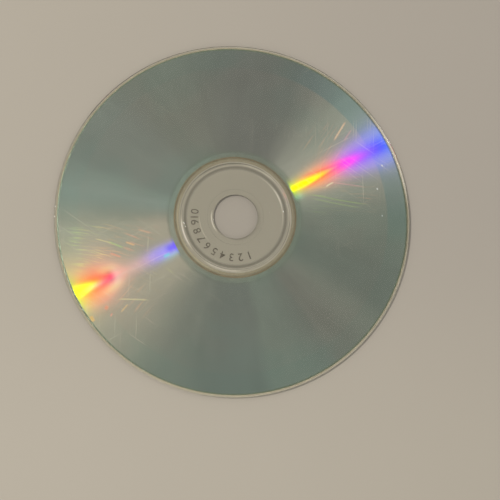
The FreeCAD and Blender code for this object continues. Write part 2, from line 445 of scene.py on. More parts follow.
def wedge(tree, angle, middle, half, soft_start, soft_end):
    """The mask of one wedge, in degrees."""
    return placed(tree, fan, {"Angle": angle, "Middle": middle, "Half Width": half,
                              "Soft Start": soft_start, "Soft End": soft_end})["Mask"]


def arc(tree, where, radius, reach, middle, half, softness):
    """The mask of one soft arc: full at its radius, none at its reach, inside its wedge."""
    return product(tree, between(tree, where["Radius"], radius - reach, radius),
                   between(tree, where["Radius"], radius + reach, radius),
                   wedge(tree, where["Angle"], middle, half, softness, softness))


def let_light_through(tree, shader, output, radius=None):
    """Lamp rays and scattered rays pass straight through the clear skin, as through a window.
    Only its steep walls, given by their distance from the axis, turn most of that light away,
    so they throw a shadow beside the disc, and light from outside still reaches under the rim."""
    path = tree.nodes.new("ShaderNodeLightPath")
    through = tree.nodes.new("ShaderNodeBsdfTransparent")
    if radius is not None:
        steep = calculate(tree, "MAXIMUM", between(tree, radius, *RIM_WALL),
                          between(tree, radius, *HOLE_WALL))
        from_inside = tree.nodes.new("ShaderNodeNewGeometry").outputs["Backfacing"]
        steep = product(tree, steep, calculate(tree, "MULTIPLY_ADD", from_inside, -WALL_GLOW, 1.0))
        shade = tree.nodes.new("ShaderNodeCombineColor")
        for socket in shade.inputs:
            tree.links.new(calculate(tree, "MULTIPLY_ADD", steep, -WALL_SHADE, 1.0), socket)
        tree.links.new(shade.outputs[0], through.inputs["Color"])
    either = tree.nodes.new("ShaderNodeMixShader")
    passing = calculate(tree, "MAXIMUM", path.outputs["Is Shadow Ray"],
                        path.outputs["Is Diffuse Ray"])
    tree.links.new(passing, either.inputs["Fac"])
    tree.links.new(shader.outputs[0], either.inputs[1])
    tree.links.new(through.outputs[0], either.inputs[2])
    tree.links.new(either.outputs[0], output.inputs["Surface"])


clear, tree, shader, output = new_material("clear polycarbonate")
shader.inputs["Transmission Weight"].default_value = 1.0
shader.inputs["IOR"].default_value = CLEAR_IOR
shader.inputs["Specular Tint"].default_value = (CLEAR_MIRROR, CLEAR_MIRROR, CLEAR_MIRROR, 1.0)
here = tree.nodes.new("ShaderNodeTexCoord").outputs["Object"]
where = placed(tree, polar, {"Vector": here})
marks = placed(tree, handling, {"Vector": here, "Coverage": CLEAR_HAIRLINES})
flat_part = product(tree, between(tree, where["Radius"], *FLAT_PART_FROM),
                    between(tree, where["Radius"], *FLAT_PART_TO))
hairlines = product(tree, marks["Hairlines"], flat_part)
scuffed = calculate(tree, "MULTIPLY_ADD", hairlines, HAIRLINE_DULLING, CLEAR_ROUGHNESS)
tree.links.new(calculate(tree, "MULTIPLY_ADD", marks["Smears"], SMEAR_DULLING, scuffed),
               shader.inputs["Roughness"])
bump = tree.nodes.new("ShaderNodeBump")
bump.inputs["Strength"].default_value = HAIRLINE_DENT
bump.inputs["Distance"].default_value = HAIRLINE_DEPTH * MM
tree.links.new(hairlines, bump.inputs["Height"])
tree.links.new(bump.outputs["Normal"], shader.inputs["Normal"])
# Painted light and shade of the relief, multiplied into the clear tint.
kept = 1.0
for radius, reach, middle, half, softness, share in PAINTED_RELIEF_SHADING:
    shade = arc(tree, where, radius, reach, middle, half, softness)
    kept = product(tree, calculate(tree, "MULTIPLY_ADD", shade, share - 1.0, 1.0), kept)
# Painted glints, given to the clear disc as emission.
painted_glint = 0.0
for radius, reach, middle, half, softness, light in PAINTED_GLINTS:
    painted_light_mask = arc(tree, where, radius, reach, middle, half, softness)
    painted_glint = calculate(tree, "MULTIPLY_ADD", painted_light_mask, light, painted_glint)
tree.links.new(blended(tree, painted_glint, (0.0, 0.0, 0.0, 1.0), linear(PAINTED_GLINT_COLOUR)),
               shader.inputs["Emission Color"])
shader.inputs["Emission Strength"].default_value = 1.0
painted_relief_grey = tree.nodes.new("ShaderNodeCombineColor")
for socket in painted_relief_grey.inputs:
    tree.links.new(kept, socket)
tree.links.new(blended(tree, 1.0, linear(CLEAR_TINT), painted_relief_grey.outputs[0], "MULTIPLY"),
               shader.inputs["Base Color"])
let_light_through(tree, shader, output, where["Radius"])

disc = turned_ring("clear_disc", rounded_profile(DISC_PROFILE), DISC_STEPS)
disc.data.materials.append(clear)
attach(disc, "root")
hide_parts("polycarbonate_disc")


# Hub marks.
# The real disc carries a ring of small grey characters on the hub's label side, thin as ink.
# Plain dial numbers stand here in their place, on the same arc and at the same height.
MARK_COUNT = 10
MARK_FIRST_ANGLE = 289.0
MARK_LAST_ANGLE = 175.0
MARK_FOOT = 12.5
MARK_HEIGHT = 2.6
MARK_BOLDNESS = 0.004
MARK_SPACING = 1.05
MARK_TOP = 0.0495
MARK_THICKNESS = 0.006
INK = (94, 86, 76)
INK_THIN = (120, 110, 98)
INK_WEAR_SCALE = 900.0
INK_WEAR_EDGE = (0.35, 0.70)
INK_ROUGHNESS = 0.6


def number_on_arc(number, angle):
    """One number as a mesh of flat letters, bent onto its arc. Its point (x, y, z), x to the
    right of its middle and y up from its foot, goes to the radius foot + y at the angle
    a - x / (foot + height / 2), so that its top points away from the axis."""
    letters = bpy.data.curves.new("number", "FONT")
    letters.body = str(number)
    letters.align_x = "CENTER"
    letters.space_character = MARK_SPACING
    letters.offset = MARK_BOLDNESS
    letters.extrude = 0.5  # to either side, so that the letters' z runs over one unit
    drawn = bpy.data.objects.new("number", letters)
    scene.collection.objects.link(drawn)
    bpy.context.view_layer.update()
    shown = drawn.evaluated_get(bpy.context.evaluated_depsgraph_get())
    mesh = bpy.data.meshes.new_from_object(shown)
    bpy.data.objects.remove(drawn)
    bpy.data.curves.remove(letters)
    flat = np.empty(len(mesh.vertices) * 3)
    mesh.vertices.foreach_get("co", flat)
    x, y, z = flat.reshape(-1, 3).T
    x = (x - (x.max() + x.min()) / 2) * MARK_HEIGHT / (y.max() - y.min())
    y = (y - y.min()) * MARK_HEIGHT / (y.max() - y.min())
    z = MARK_TOP - MARK_THICKNESS / 2 + z * MARK_THICKNESS
    a = math.radians(angle) - x / (MARK_FOOT + MARK_HEIGHT / 2)
    r = MARK_FOOT + y
    corners = np.stack([r * np.cos(a), r * np.sin(a), z], axis=-1) * MM
    faces = [tuple(face.vertices) for face in mesh.polygons]
    bpy.data.meshes.remove(mesh)
    return corners, faces


mark_corners, mark_faces, corner_count = [], [], 0
for number, angle in enumerate(np.linspace(MARK_FIRST_ANGLE, MARK_LAST_ANGLE, MARK_COUNT), 1):
    corners, faces = number_on_arc(number, angle)
    mark_corners.append(corners)
    mark_faces += [tuple(corner + corner_count for corner in face) for face in faces]
    corner_count += len(corners)
marks_mesh = bpy.data.meshes.new("hub_marks")
marks_mesh.from_pydata(np.concatenate(mark_corners).tolist(), [], mark_faces)

ink_look, tree, shader, output = new_material("grey ink")
here = tree.nodes.new("ShaderNodeTexCoord").outputs["Object"]
worn = between(tree, noise(tree, here, INK_WEAR_SCALE, detail=3.0), *INK_WEAR_EDGE)
tree.links.new(blended(tree, worn, linear(INK), linear(INK_THIN)), shader.inputs["Base Color"])
shader.inputs["Roughness"].default_value = INK_ROUGHNESS

hub_marks = bpy.data.objects.new("hub_marks", marks_mesh)
scene.collection.objects.link(hub_marks)
marks_mesh.materials.append(ink_look)
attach(hub_marks, "root")


# Recording film.
# The real piece is a dye spun on as a thin wet film, and what shows is the metal behind it.
# Its spiral track spreads a lamp's light into two streaks of colour, one each side of the hub.
# Here the room's reflection and the two streaks are painted into the film's colour, and the streaks
# glow.
FILM_PROFILE = (
    (22.35, 0.040, 0.002), (58.70, 0.040, 0.002), (58.70, 0.051, 0.002), (22.35, 0.051, 0.002),
)
THIN_HOLD = 0.001
FILM_ROUGHNESS = 0.10
METAL_GAIN = (0.605, 0.580, 0.492)
# Each fan is a painted reflection of one thing in the room that the track mirrors: the middle and
# half width of its wedge, the softness of its two edges, all in degrees, and its colour.
PAINTED_REFLECTION_GROUND = (120, 124, 112)
PAINTED_REFLECTION_FANS = (
    (40.0, 30.3, 24.7, 1.7, (149, 150, 136)),
    (87.6, 34.1, 30.0, 5.0, (110, 112, 104)),
    (126.0, 24.1, 30.0, 6.7, (118, 120, 109)),
    (150.1, 17.6, 19.2, 4.9, (120, 125, 115)),
    (170.2, 7.0, 15.4, 14.1, (132, 140, 129)),
    (205.2, 25.3, 17.1, 30.0, (162, 158, 139)),
    (267.7, 15.0, 30.0, 3.2, (110, 116, 107)),
    (292.8, 12.2, 6.8, 5.2, (114, 122, 111)),
    (308.8, 3.2, 30.0, 30.0, (104, 103, 96)),
    (337.4, 12.6, 14.9, 30.0, (106, 113, 103)),
)
RECORDED_TO = (51.9, 52.7)
OUTER_TINT = (0.965, 1.035, 1.03, 1.0)
OUTER_TINT_BY_RAY = (0.74, 0.90, 0.98, 1.0)
BY_RAY = (33.0, 33.0, 40.0, 30.0)  # the wedge of that tint, as a fan's
RING_FROM = (23.6, 21.8)
RING_COLOUR = (108, 115, 101)
RING_SHARE = 0.78
# Painted spokes and mottle: the scale of each pattern, and how much light it gives above the least.
SPOKES_SCALE = 12.0
SPOKES_PER_MM = 0.006
SPOKES_LIGHT = 0.16
MOTTLE_SCALE = 46.0
MOTTLE_LIGHT = 0.20
LEAST_LIGHT = 0.82
CAST_SCALE = 34.0
CAST_EDGE = (0.35, 0.65)
WARM_CAST = (1.055, 0.98, 0.985, 1.0)
COOL_CAST = (0.945, 1.015, 1.01, 1.0)
# The middle and width of each bell of colour in nanometres, and what the small ones add.
RED_BELL = (603.0, 42.0)
RED_IN_VIOLET = (440.0, 24.0)
RED_IN_VIOLET_SHARE = 0.08
GREEN_BELL = (545.0, 48.0)
BLUE_BELL = (456.0, 39.0)
VIOLET_BELL = (400.0, 30.0)
VIOLET_SHARE = 0.36


def as_metal(colour):
    """The base colour of a metal that shows the written screen colour in this pale room."""
    return (*(np.array(linear(colour)[:3]) / np.array(METAL_GAIN)).tolist(), 1.0)


def bell(tree, value, centre, width):
    """e to the power -((value - centre) / width) squared. The width may be another node's."""
    away = calculate(tree, "DIVIDE", calculate(tree, "SUBTRACT", value, centre), width)
    squared = calculate(tree, "MULTIPLY", away, away)
    return calculate(tree, "EXPONENT", calculate(tree, "MULTIPLY", squared, -1.0))


# Painted room reflection: the fans of sheen laid over each other, with fine spokes and a soft mottle.
# The plain ring by the hub mirrors less of the room, and the unrecorded band by the rim is bluer.
painted_reflection, given, put = new_group(
    "painted room reflection", {"Vector": None}, {"Color": "NodeSocketColor"}
)
where = placed(painted_reflection, polar, {"Vector": given["Vector"]})
painted_sheen = as_metal(PAINTED_REFLECTION_GROUND)
for middle, half, soft_start, soft_end, colour in PAINTED_REFLECTION_FANS:
    painted_sheen = blended(painted_reflection, wedge(painted_reflection, where["Angle"], middle, half, soft_start, soft_end),
                    painted_sheen, as_metal(colour))
band = blended(painted_reflection, wedge(painted_reflection, where["Angle"], *BY_RAY), OUTER_TINT, OUTER_TINT_BY_RAY)
past_recording = between(painted_reflection, where["Radius"], *RECORDED_TO)
painted_sheen = blended(painted_reflection, past_recording, painted_sheen, blended(painted_reflection, 1.0, painted_sheen, band, "MULTIPLY"))
in_ring = product(painted_reflection, between(painted_reflection, where["Radius"], *RING_FROM), RING_SHARE)
painted_sheen = blended(painted_reflection, in_ring, painted_sheen, as_metal(RING_COLOUR))
around = painted_reflection.nodes.new("ShaderNodeCombineXYZ")
turn = calculate(painted_reflection, "RADIANS", where["Angle"])
painted_reflection.links.new(calculate(painted_reflection, "COSINE", turn), around.inputs[0])
painted_reflection.links.new(calculate(painted_reflection, "SINE", turn), around.inputs[1])
painted_reflection.links.new(product(painted_reflection, where["Radius"], SPOKES_PER_MM), around.inputs[2])
spokes = noise(painted_reflection, around.outputs[0], SPOKES_SCALE, detail=3.0, roughness=0.55)
mottle = noise(painted_reflection, given["Vector"], MOTTLE_SCALE, detail=3.0)
light_and_dark = calculate(painted_reflection, "MULTIPLY_ADD", spokes, SPOKES_LIGHT, LEAST_LIGHT)
light_and_dark = calculate(painted_reflection, "MULTIPLY_ADD", mottle, MOTTLE_LIGHT, light_and_dark)
grey = painted_reflection.nodes.new("ShaderNodeCombineColor")
for socket in grey.inputs:
    painted_reflection.links.new(light_and_dark, socket)
painted_sheen = blended(painted_reflection, 1.0, painted_sheen, grey.outputs[0], "MULTIPLY")
cast = noise(painted_reflection, moved(painted_reflection, given["Vector"], (0.3, 0.1, 0.0)), CAST_SCALE)
cast = blended(painted_reflection, between(painted_reflection, cast, *CAST_EDGE), WARM_CAST, COOL_CAST)
painted_reflection.links.new(blended(painted_reflection, 1.0, painted_sheen, cast, "MULTIPLY"), put["Color"])

# Spectral colour: one wavelength in nanometres as red, green and blue, each a smooth bell
# e to the power -((w - centre) / width) squared, with a little red again in the violet.
spectral, given, put = new_group(
    "spectral colour", {"Wavelength": 550.0, "Strength": 1.0}, {"Color": "NodeSocketColor"}
)
wave = given["Wavelength"]
channels = (
    calculate(spectral, "MULTIPLY_ADD", bell(spectral, wave, *RED_IN_VIOLET), RED_IN_VIOLET_SHARE,
              bell(spectral, wave, *RED_BELL)),
    bell(spectral, wave, *GREEN_BELL),
    calculate(spectral, "MULTIPLY_ADD", bell(spectral, wave, *VIOLET_BELL), VIOLET_SHARE,
              bell(spectral, wave, *BLUE_BELL)),
)
joined = spectral.nodes.new("ShaderNodeCombineColor")
for socket, channel in zip(joined.inputs, channels):
    spectral.links.new(calculate(spectral, "MULTIPLY", channel, given["Strength"]), socket)
spectral.links.new(joined.outputs[0], put["Color"])

# Painted light from the track, in the film's colour and glow. The path difference between
# neighbouring turns of the track grows along the ray's line as D = D0 + k s, and the wavelengths
# D, D/2 and D/3 come out together. Each is a narrow core with a wide halo. The strong core also
# clears the painted sheen from under it.
# Places along the ray are in millimetres from the axis, below zero on the left of the hub, and a
# pair of them is where something begins and where it is full. Widths across it are in degrees.
TRACK_RAY = 26.5
TRACK_AT_HUB = 988.0  # the path difference in nanometres
TRACK_PER_MM = 7.1
CORE_WIDTH_RIGHT = 1.9
CORE_WIDTH_LEFT = 1.35
LEFT_CORE_TURN = -0.7
LEFT_TIP = (-51.0, -44.0)
CORE_NARROWS = 0.6
HALO_WIDTH = 5.6
BLUE_HALO_WIDTH = 4.4
RED_END = (-47.0, 5.0)  # its middle and its width along the ray
BLUE_GROWS = (-37.0, -27.0)
BLUE_LEAST = 0.4
THIRD_ORDER_FROM = (1215.0, 1320.0)  # the path difference again
# The strength of the core and the halo in each order of the light, and what two places add.
CORE_LIGHT = (7.5, 3.6, 0.2)
HALO_LIGHT = (1.05, 1.25, 1.45)
RED_END_LIGHT = 1.3
LEFT_BLUE_LIGHT = 2.3
# The two deep lines in the right ray, with their distances across it in millimetres.
LINES_FROM = (24.0, 30.0)
LINES_TO = (47.0, 42.0)
LINES_MEET = 42.5
LINES_SPREAD = 0.14
LINES_BESIDE_RAY = 0.3
LINE_WIDTH = 0.5
LINE_DEPTH = 0.45
# The clearing: where it changes along the ray and by how much, and how wide it is in degrees.
RIGHT_CLEARING = 0.92
CLEARER_BY_HUB = (32.0, 26.0, 0.08)
LESS_CLEAR_BY_RIM = (56.0, 59.0, -0.10)
LEFT_CLEARING_BY_TIP = (-43.6, -46.4, 0.85)
LEFT_CLEARING_BY_HUB = (-27.0, -24.0, 0.5)
CLEARING_WIDTH = 3.3
CLEARING_WIDER_BY_HUB = (36.0, 24.0, 1.4)
CLEARING_NARROWS = 1.5
# How strongly the painted streaks glow on the film and the bare metal.
STREAK_GLOW = 0.45


def stepped(tree, base, value, start, full, amount):
    """The base, and the amount more where the value has gone from start to full."""
    return calculate(tree, "MULTIPLY_ADD", between(tree, value, start, full), amount, base)


track, given, put = new_group(
    "painted light from the track", {"Vector": None},
    {"Color": "NodeSocketColor", "Clearing": "NodeSocketFloat", "Off Ray": "NodeSocketFloat",
     "Along Ray": "NodeSocketFloat"},
)
where = placed(track, polar, {"Vector": given["Vector"]})
off_ray = calculate(track, "SUBTRACT", where["Angle"], TRACK_RAY)
off_ray = calculate(track, "WRAP", off_ray, 90.0, -90.0)
axes = track.nodes.new("ShaderNodeSeparateXYZ")
track.links.new(given["Vector"], axes.inputs[0])
ray_x = math.cos(math.radians(TRACK_RAY)) / MM
ray_y = math.sin(math.radians(TRACK_RAY)) / MM
along_ray = total(track, product(track, axes.outputs["X"], ray_x),
                  product(track, axes.outputs["Y"], ray_y))
right_side = between(track, along_ray, -1.0, 1.0)
left_side = calculate(track, "SUBTRACT", 1.0, right_side)
path_difference = calculate(track, "MULTIPLY_ADD", along_ray, TRACK_PER_MM, TRACK_AT_HUB)
halo = bell(track, off_ray, 0.0, HALO_WIDTH)
core_width = calculate(track, "MULTIPLY_ADD", right_side, CORE_WIDTH_RIGHT - CORE_WIDTH_LEFT,
                       CORE_WIDTH_LEFT)
near_tip = product(track, between(track, along_ray, *LEFT_TIP), left_side)
core_width = calculate(track, "MULTIPLY_ADD", near_tip, -CORE_NARROWS, core_width)
core_middle = product(track, left_side, LEFT_CORE_TURN)
core = bell(track, off_ray, core_middle, core_width)
red_end = bell(track, along_ray, *RED_END)
blue_fade = stepped(track, BLUE_LEAST, along_ray, *BLUE_GROWS, 1.0 - BLUE_LEAST)
blue_halo = product(track, bell(track, off_ray, 0.0, BLUE_HALO_WIDTH), blue_fade)
first_halo = calculate(track, "MULTIPLY_ADD", red_end, RED_END_LIGHT, HALO_LIGHT[0])
strengths = (
    total(track, product(track, core, CORE_LIGHT[0]), product(track, halo, first_halo)),
    total(track, product(track, core, right_side, CORE_LIGHT[1]),
          product(track, halo, right_side, HALO_LIGHT[1]),
          product(track, blue_halo, left_side, LEFT_BLUE_LIGHT)),
    product(track, between(track, path_difference, *THIRD_ORDER_FROM),
            total(track, product(track, core, CORE_LIGHT[2]), product(track, halo, HALO_LIGHT[2]))),
)
light = (0.0, 0.0, 0.0, 1.0)
for order, strength in enumerate(strengths, 1):
    one = placed(track, spectral, {
        "Wavelength": calculate(track, "DIVIDE", path_difference, float(order)),
        "Strength": strength,
    })
    light = blended(track, 1.0, light, one["Color"], "ADD")
# Two painted deep lines run together along the right ray and meet where its light turns from red to
# pink.
across = product(track, off_ray, where["Radius"], math.radians(1.0))
across = calculate(track, "ABSOLUTE", calculate(track, "SUBTRACT", across, LINES_BESIDE_RAY))
apart = calculate(track, "ABSOLUTE", calculate(track, "SUBTRACT", along_ray, LINES_MEET))
deep = bell(track, across, product(track, apart, LINES_SPREAD), LINE_WIDTH)
deep = product(track, deep, between(track, along_ray, *LINES_FROM),
               between(track, along_ray, *LINES_TO), LINE_DEPTH)
deepened = track.nodes.new("ShaderNodeCombineColor")
deepened.inputs[0].default_value = 1.0
track.links.new(calculate(track, "SUBTRACT", 1.0, deep), deepened.inputs[1])
deepened.inputs[2].default_value = 1.0
light = blended(track, 1.0, light, deepened.outputs[0], "MULTIPLY")
cleared_right = stepped(track, RIGHT_CLEARING, along_ray, *CLEARER_BY_HUB)
cleared_right = stepped(track, cleared_right, along_ray, *LESS_CLEAR_BY_RIM)
cleared_left = stepped(track, 0.0, along_ray, *LEFT_CLEARING_BY_TIP)
cleared_left = stepped(track, cleared_left, along_ray, *LEFT_CLEARING_BY_HUB)
clearing = total(track, product(track, cleared_right, right_side),
                 product(track, cleared_left, left_side))
clear_width = stepped(track, CLEARING_WIDTH, along_ray, *CLEARING_WIDER_BY_HUB)
clear_width = calculate(track, "MULTIPLY_ADD", near_tip, -CLEARING_NARROWS, clear_width)
clearing = product(track, clearing, bell(track, off_ray, core_middle, clear_width))
kept = calculate(track, "SUBTRACT", 1.0, clearing)
track.links.new(clearing, put["Clearing"])
# Veils: painted paler light that fills the gap on the left ray and hangs beside both rays. Where
# the sheen is cleared they fade with it.
VEILS = (  # middle and reach along the ray in mm, middle and reach across in degrees, colour
    (-38.0, 8.0, 0.0, 3.8, (0.25, 0.09, 0.08)),
    (-46.0, 5.5, -3.0, 10.0, (0.26, 0.06, 0.04)),
    (-57.0, 7.5, -3.0, 10.0, (0.28, 0.17, 0.04)),
    (-24.5, 3.5, 4.8, 2.6, (0.0, 0.14, 0.06)),
    (33.0, 14.0, 0.0, 9.5, (0.10, 0.06, 0.04)),
    (56.0, 7.0, 0.0, 10.0, (0.08, 0.06, 0.14)),
)
# Hearts, painted light: where the light is so strong that the middle of the ray turns pale, and the
# red and yellow glow at and beside the left ray's tip. Clearing doesn't fade them.
HEARTS = (
    (33.5, 6.0, 0.6, 1.0, (0.0, 0.10, 0.02)),
    (50.0, 5.0, 0.4, 2.4, (0.0, 0.09, 0.0)),
    (22.4, 1.8, -8.0, 3.0, (0.0, 0.16, 0.10)),
    (-51.5, 3.5, 0.0, 1.0, (0.0, 0.10, 0.22)),
    (-47.0, 3.5, 0.0, 2.4, (0.0, 0.0, 0.12)),
    (-46.6, 3.2, -3.8, 2.0, (0.32, 0.20, 0.07)),
    (-47.4, 3.8, 3.6, 2.0, (0.30, 0.24, 0.09)),
    (-43.0, 2.2, -0.3, 3.4, (0.20, 0.02, 0.02)),
    (-45.0, 1.7, -0.9, 1.4, (0.42, 0.0, 0.05)),
    (-45.4, 1.8, 2.2, 1.5, (0.24, 0.10, 0.10)),
)
faint = [(*veil, kept) for veil in VEILS] + [(*heart, 1.0) for heart in HEARTS]
for middle, reach, across, spread, colour, share in faint:
    amount = product(track, bell(track, along_ray, middle, reach),
                     bell(track, off_ray, across, spread), share)
    veil = blended(track, amount, (0.0, 0.0, 0.0, 1.0), (*colour, 1.0))
    light = blended(track, 1.0, light, veil, "ADD")
track.links.new(light, put["Color"])
track.links.new(off_ray, put["Off Ray"])
track.links.new(along_ray, put["Along Ray"])

# Fine scratch: a line from a middle point along a direction, bowed as v - bow u u, thin across.
scratch, given, put = new_group(
    "fine scratch",
    {"Vector": None, "Middle X": 0.0, "Middle Y": 0.0, "Direction": 0.0,
     "Half Length": 1.0, "Half Width": 0.1, "Bow": 0.0},
    {"Mask": "NodeSocketFloat"},
)
axes = scratch.nodes.new("ShaderNodeSeparateXYZ")
scratch.links.new(given["Vector"], axes.inputs[0])
dx = calculate(scratch, "SUBTRACT", product(scratch, axes.outputs["X"], 1.0 / MM), given["Middle X"])
dy = calculate(scratch, "SUBTRACT", product(scratch, axes.outputs["Y"], 1.0 / MM), given["Middle Y"])
heading = calculate(scratch, "RADIANS", given["Direction"])
cosine, sine = calculate(scratch, "COSINE", heading), calculate(scratch, "SINE", heading)
along = total(scratch, product(scratch, dx, cosine), product(scratch, dy, sine))
across = calculate(scratch, "SUBTRACT", product(scratch, dy, cosine), product(scratch, dx, sine))
bowed = product(scratch, along, along, given["Bow"])
across = calculate(scratch, "ABSOLUTE", calculate(scratch, "SUBTRACT", across, bowed))
thin = between(scratch, across, given["Half Width"], 0.0)
ends = between(scratch, calculate(scratch, "ABSOLUTE", along), given["Half Length"],
               product(scratch, given["Half Length"], 0.5))
scratch.links.new(product(scratch, thin, ends), put["Mask"])

# The scratches that show, painted as the light that each scatters: both ends and the half width
# in millimetres, the bow, the strength and the colour that the track gives that light.
SCRATCH_GLINTS = (
    ((38.9, 34.1), (34.1, 26.5), 0.50, 0.0, 0.80, (236, 192, 160)),
    ((40.9, 31.2), (37.6, 26.5), 0.50, 0.0, 0.35, (215, 165, 160)),
    ((30.9, 10.6), (34.0, 12.4), 0.45, -0.06, 0.80, (225, 215, 180)),
    ((32.7, 12.2), (44.8, 10.7), 0.35, 0.0, 0.35, (225, 165, 165)),
    ((23.9, 8.1), (46.3, 4.1), 0.40, 0.002, 0.35, (160, 185, 110)),
    ((25.0, 6.6), (44.0, 3.0), 0.40, 0.002, 0.28, (170, 190, 120)),
    ((50.8, 18.1), (51.3, 18.4), 0.65, 0.0, 0.70, (225, 230, 235)),
    ((48.8, 9.9), (49.3, 10.1), 0.60, 0.0, 0.60, (225, 225, 225)),
    ((50.2, 0.5), (50.7, 0.7), 0.45, 0.0, 0.45, (210, 215, 215)),
    ((-36.8, -8.5), (-33.4, -9.7), 0.45, 0.0, 0.65, (245, 185, 130)),
    ((-41.9, -12.2), (-37.8, -13.7), 0.45, 0.0, 0.65, (250, 160, 130)),
    ((-42.6, -8.3), (-37.0, -10.6), 0.48, 0.0, 0.50, (175, 205, 130)),
    ((-46.9, -7.4), (-40.8, -9.0), 0.38, 0.0, 0.40, (225, 215, 150)),
    ((-33.0, -4.2), (-28.0, -5.7), 0.50, 0.0, 0.32, (235, 175, 140)),
    ((-39.7, -27.4), (-28.4, -27.8), 0.42, -0.004, 0.50, (215, 205, 155)),
    ((-38.1, -32.0), (-35.5, -29.0), 0.42, 0.0, 0.50, (225, 190, 130)),
    ((-43.2, -30.0), (-42.0, -30.6), 0.95, 0.0, 0.95, (250, 150, 120)),
    ((-41.3, -32.5), (-40.7, -32.8), 0.75, 0.0, 0.80, (250, 165, 145)),
    ((-47.8, -32.9), (-46.6, -34.9), 0.95, 0.0, 0.70, (245, 180, 100)),
    ((-21.8, -12.4), (-24.2, -13.6), 0.90, 0.0, 0.60, (120, 215, 215)),
)
# The rubbed patches, worn lines painted as the coloured light that they scatter: how the fine
# lines lie, the wedge and the radii that they fill, and the wavelengths in nanometres that they
# scatter at their inner and outer end.
RUBBED_GLINTS = (
    (-18.0, 193.0, 9.0, 26.0, 54.0, 0.30, 640.0, 560.0),
    (-6.0, 193.0, 9.0, 38.0, 58.0, 0.26, 605.0, 560.0),
    (-2.0, 13.0, 9.0, 24.0, 50.0, 0.14, 560.0, 610.0),
    (57.0, 38.0, 10.0, 32.0, 50.0, 0.16, 590.0, 625.0),
    (50.0, 219.0, 8.0, 38.0, 52.0, 0.16, 600.0, 610.0),
    (-30.0, 214.0, 9.0, 24.0, 46.0, 0.10, 570.0, 600.0),
)
RUBBED_SCALE = (110.0, 1500.0, 0.0)
RUBBED_EDGE = (0.52, 0.72)
RUBBED_BEGINS = (-3.0, 5.0)  # in millimetres from a patch's inner radius
RUBBED_ENDS = (1.0, -5.0)  # and from its outer one
# The film's hairlines, painted as the light that they catch: more of them, and brighter, within
# some degrees of the two rays.
HAIRLINE_GLINT_COLOUR = (212, 200, 178)
HAIRLINES_BY_RAY = 26.0
FILM_HAIRLINES = 0.42
FILM_HAIRLINES_MORE = 0.22
HAIRLINE_LIGHT = 0.10
HAIRLINE_LIGHT_MORE = 0.30

film_look, tree, shader, output = new_material("dye over metal")
here = tree.nodes.new("ShaderNodeTexCoord").outputs["Object"]
where = placed(tree, polar, {"Vector": here})
# The film's colour: the painted room reflection, cleared under the painted streaks.
painted_sheen = placed(tree, painted_reflection, {"Vector": here})["Color"]
streaks = placed(tree, track, {"Vector": here})
painted = blended(tree, streaks["Clearing"], painted_sheen, (0.0, 0.0, 0.0, 1.0))
painted = blended(tree, 1.0, painted, streaks["Color"], "ADD")
# Rubbed patches add the painted light that their worn lines scatter.
for number, (turn, middle, half, first, last, strength, inner, outer) in enumerate(RUBBED_GLINTS):
    shift = (0.13 * number, 0.07 * number, 0.0)
    lines = noise(tree, moved(tree, here, shift, -turn, RUBBED_SCALE), 1.0, roughness=0.6)
    lines = between(tree, lines, *RUBBED_EDGE)
    patch = product(tree, wedge(tree, where["Angle"], middle, half, half, half),
                    between(tree, where["Radius"], *(first + step for step in RUBBED_BEGINS)),
                    between(tree, where["Radius"], *(last + step for step in RUBBED_ENDS)), lines)
    share = between(tree, where["Radius"], first, last)
    colour = placed(tree, spectral, {
        "Wavelength": calculate(tree, "MULTIPLY_ADD", share, outer - inner, inner),
        "Strength": product(tree, patch, strength),
    })["Color"]
    painted = blended(tree, 1.0, painted, colour, "ADD")
# Hairlines painted as the light that they catch, brighter near the rays.
near_ray = bell(tree, streaks["Off Ray"], 0.0, HAIRLINES_BY_RAY)
hairline_glints = placed(tree, handling, {
    "Vector": moved(tree, here, (0.21, 0.47, 0.0), 11.0),
    "Coverage": calculate(tree, "MULTIPLY_ADD", near_ray, FILM_HAIRLINES_MORE, FILM_HAIRLINES),
})["Hairlines"]
brighter = calculate(tree, "MULTIPLY_ADD", near_ray, HAIRLINE_LIGHT_MORE, HAIRLINE_LIGHT)
hairline_glints = product(tree, hairline_glints, brighter)
painted = blended(tree, hairline_glints, painted, as_metal(HAIRLINE_GLINT_COLOUR))
# Scratches painted as the light that they scatter.
for first, last, half_width, bow, strength, colour in SCRATCH_GLINTS:
    run = np.subtract(last, first)
    line = placed(tree, scratch, {
        "Vector": here,
        "Middle X": (first[0] + last[0]) / 2,
        "Middle Y": (first[1] + last[1]) / 2,
        "Direction": math.degrees(math.atan2(run[1], run[0])),
        "Half Length": float(np.hypot(*run)) / 2,
        "Half Width": half_width,
        "Bow": bow,
    })
    painted = blended(tree, product(tree, line["Mask"], strength), painted, as_metal(colour))
tree.links.new(painted, shader.inputs["Base Color"])
# The painted streaks also glow.
tree.links.new(streaks["Color"], shader.inputs["Emission Color"])
shader.inputs["Emission Strength"].default_value = STREAK_GLOW
shader.inputs["Metallic"].default_value = 1.0
shader.inputs["Roughness"].default_value = FILM_ROUGHNESS

film = turned_ring("recording_film", rounded_profile(FILM_PROFILE, THIN_HOLD), DISC_STEPS)
film.data.materials.append(film_look)
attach(film, "root")
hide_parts("dye_layer")


